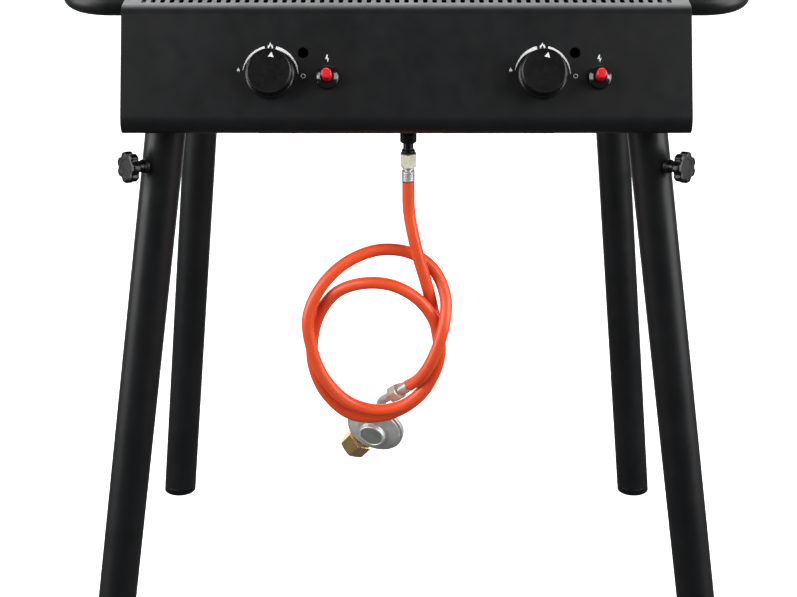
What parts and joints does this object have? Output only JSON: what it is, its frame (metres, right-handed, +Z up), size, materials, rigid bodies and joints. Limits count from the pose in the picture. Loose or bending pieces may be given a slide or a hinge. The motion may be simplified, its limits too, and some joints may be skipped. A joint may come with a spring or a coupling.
{
  "type": "two-burner gas cooking table",
  "caption": "Free-standing gas hob: folded black housing on splayed tube legs with side handles, two control knobs, and a looped orange hose with a regulator.",
  "frame": {"origin": "on the floor under the middle of the stand, hose and regulator left out", "axes": "+Z up, the control panel faces -Y, +X to the right of someone facing the controls"},
  "size_m": [0.7634, 0.6284, 0.863],
  "materials": {
    "black_coat": "black powder coat, fine texture, semi-matt",
    "enamel": "black vitreous enamel, satin",
    "cast_iron": "dark, rough",
    "brass": "machined",
    "steel": "bright zinc plate",
    "rail_steel": "plain steel pipe",
    "knob_plastic": "black, satin",
    "red_plastic": "glossy red",
    "ceramic": "white glazed ceramic",
    "hose_rubber": "orange-red, satin",
    "ferrule_steel": "crimped bright sleeve",
    "yellow_zinc": "pale yellow zinc plate",
    "cast_zinc": "die-cast zinc alloy, dull grey"
  },
  "bodies": {
    "table": {"burner_body_left": "cast_iron", "burner_body_right": "cast_iron", "burner_bridge": "black_coat", "burner_cap_left": "enamel", "burner_cap_right": "enamel", "electrode_left": "ceramic", "electrode_right": "ceramic", "gas_hose": "hose_rubber", "gas_rail": "rail_steel", "handle_left": "black_coat", "handle_right": "black_coat", "hob_well": "enamel", "housing_shell": "black_coat", "igniter_body_left": "knob_plastic", "igniter_body_right": "knob_plastic", "injector_left": "brass", "injector_right": "brass", "inlet_ferrule": "ferrule_steel", "inlet_fitting": "black_coat", "inlet_nut": "yellow_zinc", "leg_socket_back_left": "black_coat", "leg_socket_back_right": "black_coat", "leg_socket_front_left": "black_coat", "leg_socket_front_right": "black_coat", "rail_guard": "black_coat", "regulator_body": "cast_zinc", "regulator_ferrule": "ferrule_steel", "regulator_lid": "cast_zinc", "regulator_nut": "yellow_zinc", "side_wall_left": "black_coat", "side_wall_right": "black_coat", "valve_left": "brass", "valve_right": "brass"},
    "control_push_left": {"spring_plate_left": "steel"},
    "control_knob_left": {"spindle_left": "steel", "knob_left": "knob_plastic"},
    "igniter_left": {"igniter_button_left": "red_plastic"},
    "pan_grate_left": {"grate_left": "cast_iron"},
    "control_push_right": {"spring_plate_right": "steel"},
    "control_knob_right": {"spindle_right": "steel", "knob_right": "knob_plastic"},
    "igniter_right": {"igniter_button_right": "red_plastic"},
    "pan_grate_right": {"grate_right": "cast_iron"},
    "leg_front_left": {"leg_tube_front_left": "black_coat", "foot_cap_front_left": "knob_plastic"},
    "clamp_washer_front_left": {"star_washer_front_left": "steel"},
    "clamp_knob_front_left": {"star_knob_front_left": "knob_plastic"},
    "leg_front_right": {"leg_tube_front_right": "black_coat", "foot_cap_front_right": "knob_plastic"},
    "clamp_washer_front_right": {"star_washer_front_right": "steel"},
    "clamp_knob_front_right": {"star_knob_front_right": "knob_plastic"},
    "leg_back_left": {"leg_tube_back_left": "black_coat", "foot_cap_back_left": "knob_plastic"},
    "clamp_washer_back_left": {"star_washer_back_left": "steel"},
    "clamp_knob_back_left": {"star_knob_back_left": "knob_plastic"},
    "leg_back_right": {"leg_tube_back_right": "black_coat", "foot_cap_back_right": "knob_plastic"},
    "clamp_washer_back_right": {"star_washer_back_right": "steel"},
    "clamp_knob_back_right": {"star_knob_back_right": "knob_plastic"},
    "cylinder_nut": {"cylinder_nut": "brass"}
  },
  "joints": [
    {"name": "control_push_in_left", "type": "slide", "parent": "table", "child": "control_push_left", "axis": [0, 0.891, -0.454], "range_m": [0, 0.0035], "stiffness_N_per_m": 700},
    {"name": "control_turn_left", "type": "hinge", "parent": "control_push_left", "child": "control_knob_left", "pos_m": [-0.1435, -0.2807, 0.79], "axis": [0, -0.891, 0.454], "range_deg": [-86, 92]},
    {"name": "igniter_press_left", "type": "slide", "parent": "table", "child": "igniter_left", "axis": [0, 0.891, -0.454], "range_m": [0, 0.006], "stiffness_N_per_m": 500},
    {"name": "grate_lift_left", "type": "slide", "parent": "table", "child": "pan_grate_left", "axis": [0, 0, 1], "range_m": [0, 0.1]},
    {"name": "control_push_in_right", "type": "slide", "parent": "table", "child": "control_push_right", "axis": [0, 0.891, -0.454], "range_m": [0, 0.0035], "stiffness_N_per_m": 700},
    {"name": "control_turn_right", "type": "hinge", "parent": "control_push_right", "child": "control_knob_right", "pos_m": [0.1435, -0.2807, 0.79], "axis": [0, -0.891, 0.454], "range_deg": [-81, 97]},
    {"name": "igniter_press_right", "type": "slide", "parent": "table", "child": "igniter_right", "axis": [0, 0.891, -0.454], "range_m": [0, 0.006], "stiffness_N_per_m": 500},
    {"name": "grate_lift_right", "type": "slide", "parent": "table", "child": "pan_grate_right", "axis": [0, 0, 1], "range_m": [0, 0.1]},
    {"name": "leg_pull_off_front_left", "type": "slide", "parent": "table", "child": "leg_front_left", "axis": [-0.1358, -0.0598, -0.9889], "range_m": [0, 0.09]},
    {"name": "clamp_travel_front_left", "type": "slide", "parent": "leg_front_left", "child": "clamp_washer_front_left", "axis": [-0.759, -0.6353, 0.1426], "range_m": [0, 0.0051]},
    {"name": "clamp_turn_front_left", "type": "hinge", "parent": "clamp_washer_front_left", "child": "clamp_knob_front_left", "pos_m": [-0.2666, -0.24025, 0.67662], "axis": [-0.759, -0.6353, 0.1426], "range_deg": [0, 1440]},
    {"name": "leg_pull_off_front_right", "type": "slide", "parent": "table", "child": "leg_front_right", "axis": [0.1358, -0.0598, -0.9889], "range_m": [0, 0.09]},
    {"name": "clamp_travel_front_right", "type": "slide", "parent": "leg_front_right", "child": "clamp_washer_front_right", "axis": [0.759, -0.6353, 0.1426], "range_m": [0, 0.0051]},
    {"name": "clamp_turn_front_right", "type": "hinge", "parent": "clamp_washer_front_right", "child": "clamp_knob_front_right", "pos_m": [0.2666, -0.24025, 0.67662], "axis": [0.759, -0.6353, 0.1426], "range_deg": [0, 1440]},
    {"name": "leg_pull_off_back_left", "type": "slide", "parent": "table", "child": "leg_back_left", "axis": [-0.0944, 0.0601, -0.9937], "range_m": [0, 0.09]},
    {"name": "clamp_travel_back_left", "type": "slide", "parent": "leg_back_left", "child": "clamp_washer_back_left", "axis": [-0.7626, 0.6372, 0.111], "range_m": [0, 0.0051]},
    {"name": "clamp_turn_back_left", "type": "hinge", "parent": "clamp_washer_back_left", "child": "clamp_knob_back_left", "pos_m": [-0.26196, 0.25106, 0.67983], "axis": [-0.7626, 0.6372, 0.111], "range_deg": [0, 1440]},
    {"name": "leg_pull_off_back_right", "type": "slide", "parent": "table", "child": "leg_back_right", "axis": [0.0944, 0.0601, -0.9937], "range_m": [0, 0.09]},
    {"name": "clamp_travel_back_right", "type": "slide", "parent": "leg_back_right", "child": "clamp_washer_back_right", "axis": [0.7626, 0.6372, 0.111], "range_m": [0, 0.0051]},
    {"name": "clamp_turn_back_right", "type": "hinge", "parent": "clamp_washer_back_right", "child": "clamp_knob_back_right", "pos_m": [0.26196, 0.25106, 0.67983], "axis": [0.7626, 0.6372, 0.111], "range_deg": [0, 1440]},
    {"name": "cylinder_nut_spin", "type": "hinge", "parent": "table", "child": "cylinder_nut", "pos_m": [-0.05671, -0.19445, 0.31777], "axis": [-0.5158, 0.4345, -0.7384], "continuous": true}
  ],
  "couplings": [
    {"joint": "clamp_travel_front_left", "follows": "clamp_turn_front_left", "m_per_rad": 0.00019894},
    {"joint": "clamp_travel_front_right", "follows": "clamp_turn_front_right", "m_per_rad": 0.00019894},
    {"joint": "clamp_travel_back_left", "follows": "clamp_turn_back_left", "m_per_rad": 0.00019894},
    {"joint": "clamp_travel_back_right", "follows": "clamp_turn_back_right", "m_per_rad": 0.00019894}
  ]
}
